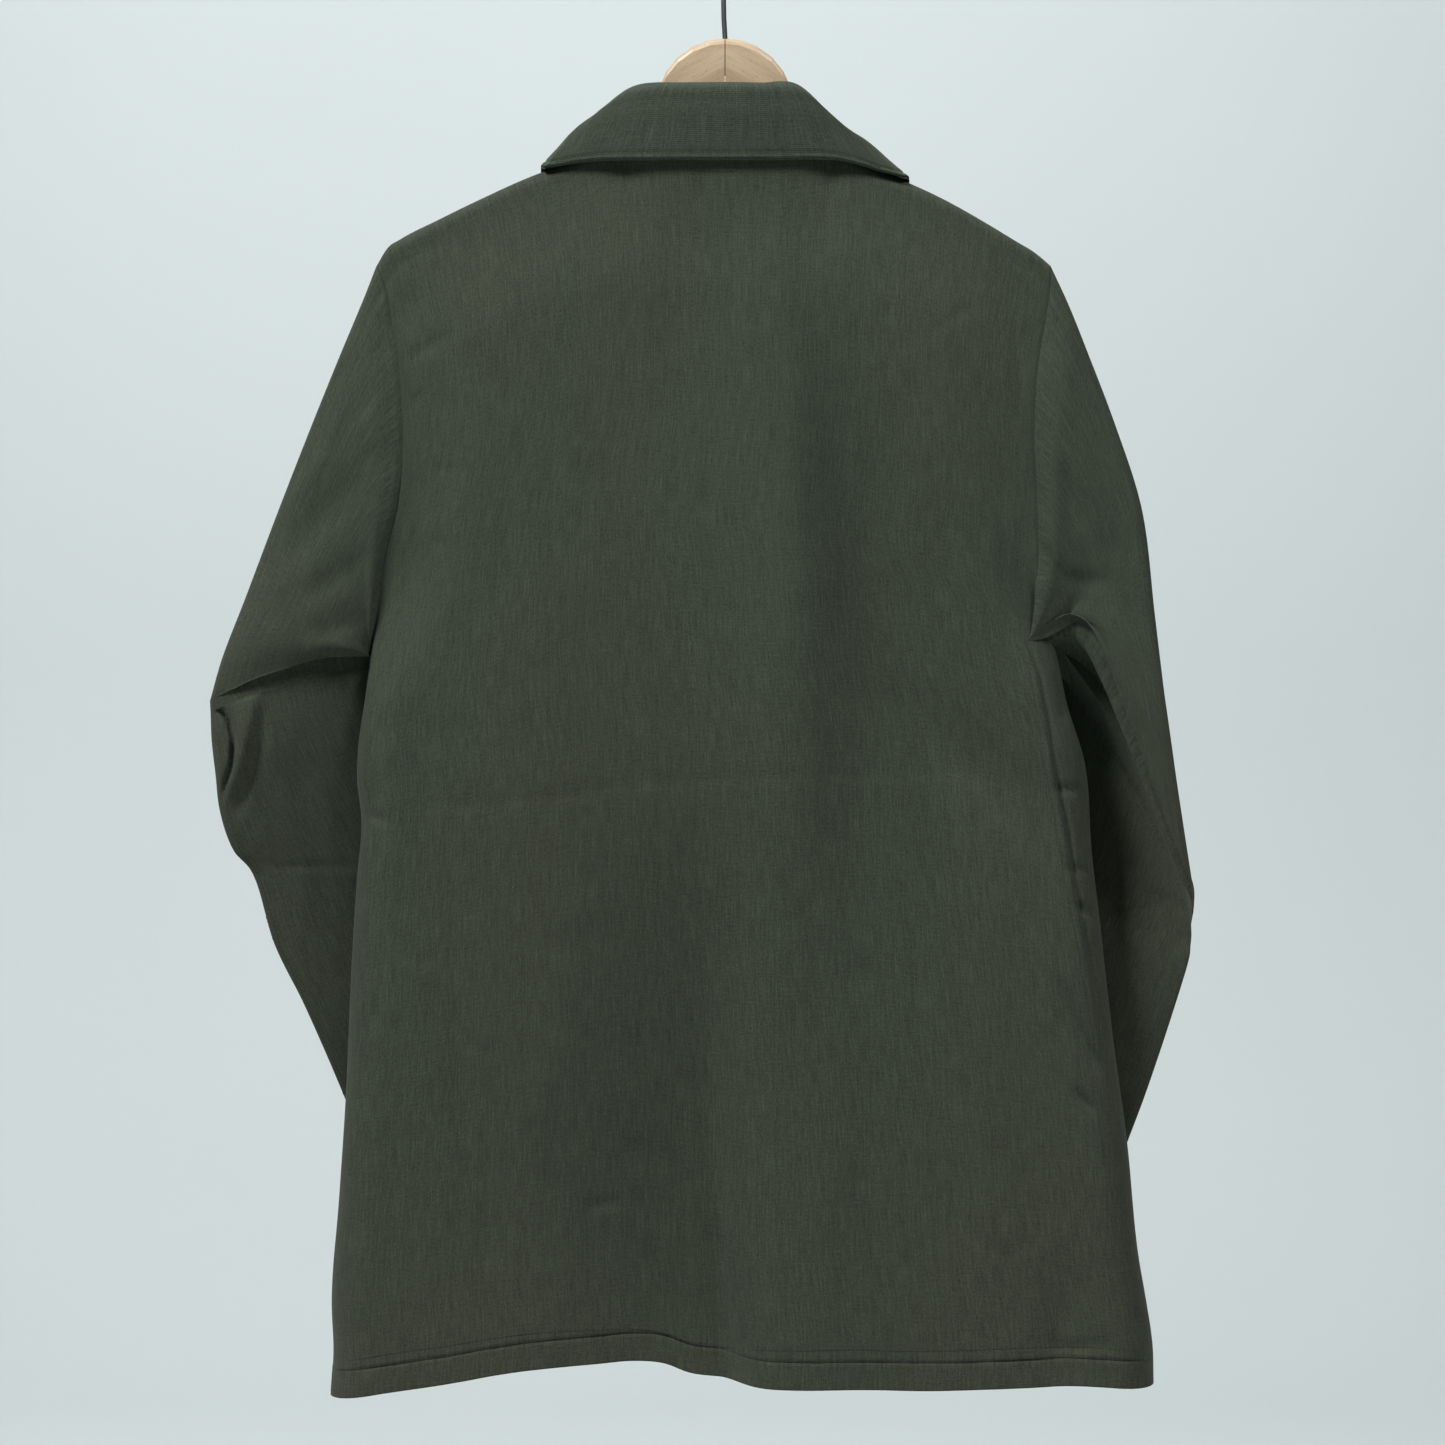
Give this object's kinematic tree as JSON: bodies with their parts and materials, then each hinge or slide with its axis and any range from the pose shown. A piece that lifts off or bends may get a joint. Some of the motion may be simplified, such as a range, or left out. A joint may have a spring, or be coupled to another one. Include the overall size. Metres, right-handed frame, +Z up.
{
  "type": "utility shirt on hanger",
  "caption": "Olive long-sleeved cotton utility shirt with a turned-down collar, buttoned front and cuffs, hung on a contoured beech hanger with a wire hook",
  "frame": {"origin": "inner top of the hook, where a rail carries it", "axes": "+Z up; -Y out of the back of the shirt, towards the picture's camera; +Y out of the buttoned front; -X the wearer's left"},
  "size_m": [0.6082, 0.0848, 0.926],
  "materials": {
    "shirt_cloth": "plain-woven olive cotton, matt",
    "collar_cloth": "plain-woven olive cotton, matt",
    "button_plastic": "dark olive moulded plastic",
    "beech_wood": "pale beech, thin clear varnish",
    "hook_steel": "plated steel wire"
  },
  "bodies": {
    "root": {"back": "shirt_cloth", "front_left": "shirt_cloth", "front_right": "shirt_cloth", "sleeve_left": "shirt_cloth", "sleeve_right": "shirt_cloth", "cuff_left": "shirt_cloth", "cuff_right": "shirt_cloth", "placket": "shirt_cloth", "upper_collar": "collar_cloth", "under_collar": "collar_cloth", "button_1": "button_plastic", "button_2": "button_plastic", "button_3": "button_plastic", "button_4": "button_plastic", "button_5": "button_plastic", "button_6": "button_plastic", "cuff_button_left": "button_plastic", "cuff_button_right": "button_plastic", "hanger_half_left": "beech_wood", "hanger_half_right": "beech_wood", "hook": "hook_steel"}
  },
  "joints": []
}
